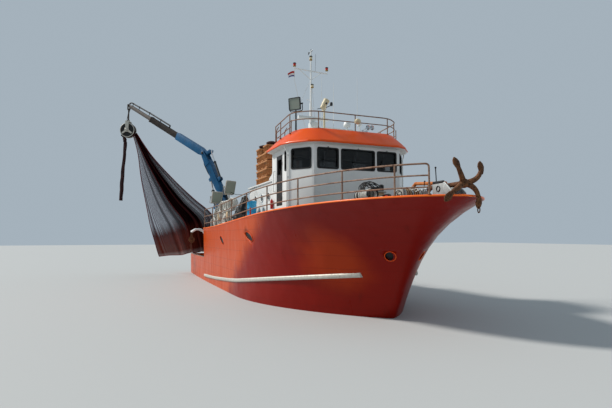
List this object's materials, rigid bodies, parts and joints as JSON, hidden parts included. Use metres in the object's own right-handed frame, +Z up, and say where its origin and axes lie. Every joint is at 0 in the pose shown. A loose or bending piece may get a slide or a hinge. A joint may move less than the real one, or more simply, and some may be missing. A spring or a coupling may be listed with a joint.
{
  "type": "fishing trawler",
  "caption": "Steel fishing boat with flared bow, raised deck, forward wheelhouse, mast, deck rails and a knuckle-boom net crane whose power block carries a hanging net.",
  "frame": {"origin": "on the centreline at the waterline, 8.7 m aft of where the stem meets the water", "axes": "+X towards the bow, +Y to port, +Z up"},
  "size_m": [25.7081, 11.4775, 14.1549],
  "materials": {
    "hull_paint": "worn gloss",
    "edge_paint": "gloss",
    "fascia_paint": "gloss",
    "white_paint": "worn satin",
    "grey_paint": "worn satin",
    "black_paint": "satin",
    "rail_steel": "rusty",
    "crane_blue": "worn gloss",
    "bare_steel": "weathered",
    "rod_steel": "polished",
    "rusty_iron": "rusty",
    "galvanised": "dull",
    "glass": "clear",
    "box_plastic": "scuffed",
    "blue_plastic": "scuffed",
    "black_plastic": "matt",
    "seat_cloth": "worn",
    "rope": "rough",
    "net": "rough",
    "bronze": "satin",
    "antifouling": "matt"
  },
  "bodies": {
    "boat": {"hull": "hull_paint", "gunwale": "edge_paint", "rub_rail_starboard": "white_paint", "rub_rail_port": "white_paint", "deck_rail_starboard": "rail_steel", "deck_rail_port": "rail_steel", "wheelhouse": "white_paint", "wheelhouse_glazing": "glass", "wheelhouse_aft_glazing": "glass", "wheelhouse_roof": "fascia_paint", "roof_rail": "rail_steel", "helm_console": "black_plastic", "helm_chair": "seat_cloth", "aft_deckhouse": "white_paint", "mast": "white_paint", "mast_stay_starboard": "galvanised", "mast_stay_port": "galvanised", "radar_pedestal": "white_paint", "roof_floodlight": "black_paint", "deck_floodlight_mid": "grey_paint", "deck_floodlight_aft": "grey_paint", "searchlight": "bronze", "bitts_starboard": "black_paint", "bitts_port": "black_paint", "windlass_frame": "grey_paint", "rope_drum": "rope", "foredeck_pipe": "rusty_iron", "stem_roller": "galvanised", "anchor": "rusty_iron", "hatch_coaming": "white_paint", "fish_boxes": "box_plastic", "barrel": "blue_plastic", "winch_frame": "white_paint", "roof_ladder": "white_paint", "crane_base": "crane_blue", "net_heap": "net", "purse_davit": "white_paint", "davit_blocks": "rusty_iron"},
    "door_starboard": {"wheelhouse_door_starboard": "white_paint"},
    "door_port": {"wheelhouse_door_port": "white_paint"},
    "door_aft": {"deckhouse_door": "white_paint"},
    "lid": {"hatch_lid": "grey_paint"},
    "scanner": {"radar_scanner": "white_paint"},
    "windlass": {"windlass_drum": "galvanised"},
    "winch_starboard": {"winch_drum_starboard": "galvanised"},
    "winch_port": {"winch_drum_port": "galvanised"},
    "column": {"crane_column": "crane_blue"},
    "main_boom": {"crane_main_boom": "crane_blue"},
    "outer_boom": {"crane_outer_boom": "crane_blue"},
    "extension": {"crane_extension": "bare_steel"},
    "link": {"block_link": "bare_steel"},
    "block": {"block_frame": "bare_steel", "net_hanging": "net"},
    "sheave": {"block_sheave": "galvanised"},
    "lift_barrel": {"lift_cylinder_barrel": "black_paint"},
    "lift_rod": {"lift_cylinder_rod": "rod_steel"},
    "knuckle_barrel": {"knuckle_cylinder_barrel": "black_paint"},
    "knuckle_rod": {"knuckle_cylinder_rod": "rod_steel"},
    "rudder": {"rudder": "antifouling"},
    "propeller": {"propeller": "bronze"}
  },
  "joints": [
    {"name": "propeller_spin", "type": "hinge", "parent": "boat", "child": "propeller", "pos_m": [-10.55, 0, -1.45], "axis": [1, 0, 0], "continuous": true},
    {"name": "rudder_turn", "type": "hinge", "parent": "boat", "child": "rudder", "pos_m": [-11.45, 0, -1.5], "axis": [0, 0, 1], "range_deg": [-35, 35]},
    {"name": "crane_slew", "type": "hinge", "parent": "boat", "child": "column", "pos_m": [-5.3, -2.5, 3.95], "axis": [0, 0, 1], "range_deg": [-100, 100]},
    {"name": "boom_lift", "type": "hinge", "parent": "column", "child": "main_boom", "pos_m": [-5.3, -2.5, 4.95], "axis": [-0.5446, 0.8387, 0], "range_deg": [-25, 12], "deforming": ["net_hanging"]},
    {"name": "knuckle", "type": "hinge", "parent": "main_boom", "child": "outer_boom", "pos_m": [-6.55801, -3.31696, 7.5], "axis": [-0.5446, 0.8387, 0], "range_deg": [-35, 15]},
    {"name": "extension_slide", "type": "slide", "parent": "outer_boom", "child": "extension", "axis": [-0.7383, -0.4794, 0.4744], "range_m": [-0.9, 0.5]},
    {"name": "block_swing", "type": "hinge", "parent": "extension", "child": "link", "pos_m": [-13.01577, -7.51068, 11.65], "axis": [-0.5446, 0.8387, 0], "range_deg": [-25, 25]},
    {"name": "block_swivel", "type": "hinge", "parent": "link", "child": "block", "pos_m": [-13.01577, -7.51068, 10.55], "axis": [0, 0, 1], "range_deg": [-60, 60]},
    {"name": "sheave_spin", "type": "hinge", "parent": "block", "child": "sheave", "pos_m": [-13.01577, -7.51068, 9.88], "axis": [-0.9272, 0.3746, 0], "continuous": true},
    {"name": "lift_swing", "type": "hinge", "parent": "column", "child": "lift_barrel", "pos_m": [-5.73611, -2.78321, 4.24], "axis": [-0.5446, 0.8387, 0], "range_deg": [-17.3, 8.4]},
    {"name": "lift_stroke", "type": "slide", "parent": "lift_barrel", "child": "lift_rod", "axis": [-0.2002, -0.13, 0.9711], "range_m": [-0.317, 0.153]},
    {"name": "knuckle_swing", "type": "hinge", "parent": "main_boom", "child": "knuckle_barrel", "pos_m": [-5.44415, -2.59361, 5.89306], "axis": [-0.5446, 0.8387, 0], "range_deg": [-0.5, 0.9]},
    {"name": "knuckle_stroke", "type": "slide", "parent": "knuckle_barrel", "child": "knuckle_rod", "axis": [-0.3557, -0.231, 0.9056], "range_m": [-0.142, 0.328]},
    {"name": "radar_spin", "type": "hinge", "parent": "boat", "child": "scanner", "pos_m": [4.5, -0.95, 7.2], "axis": [0, 0, 1], "continuous": true},
    {"name": "door_starboard_swing", "type": "hinge", "parent": "boat", "child": "door_starboard", "pos_m": [4.9795, -2.4273, 4.65], "axis": [0, 0, 1], "range_deg": [0, 100]},
    {"name": "door_port_swing", "type": "hinge", "parent": "boat", "child": "door_port", "pos_m": [4.9795, 2.4273, 4.65], "axis": [0, 0, -1], "range_deg": [0, 100]},
    {"name": "door_aft_swing", "type": "hinge", "parent": "boat", "child": "door_aft", "pos_m": [-0.6163, 0.35, 3.95], "axis": [0, 0, -1], "range_deg": [0, 100]},
    {"name": "lid_lift", "type": "hinge", "parent": "boat", "child": "lid", "pos_m": [-3.7, 0.96, 3.3623], "axis": [-1, 0, 0], "range_deg": [0, 95]},
    {"name": "windlass_spin", "type": "hinge", "parent": "boat", "child": "windlass", "pos_m": [9.65, 0, 3.78], "axis": [0, 1, 0], "continuous": true},
    {"name": "winch_starboard_spin", "type": "hinge", "parent": "boat", "child": "winch_starboard", "pos_m": [-2.15, -0.75, 3.56], "axis": [0, 1, 0], "continuous": true},
    {"name": "winch_port_spin", "type": "hinge", "parent": "boat", "child": "winch_port", "pos_m": [-2.15, 0.75, 3.56], "axis": [0, 1, 0], "continuous": true}
  ],
  "couplings": [
    {"joint": "lift_swing", "follows": "boom_lift", "ratio": 0.68461},
    {"joint": "lift_stroke", "follows": "boom_lift", "m_per_rad": 0.72262},
    {"joint": "knuckle_swing", "follows": "knuckle", "ratio": -0.0198},
    {"joint": "knuckle_stroke", "follows": "knuckle", "m_per_rad": -0.53273}
  ]
}
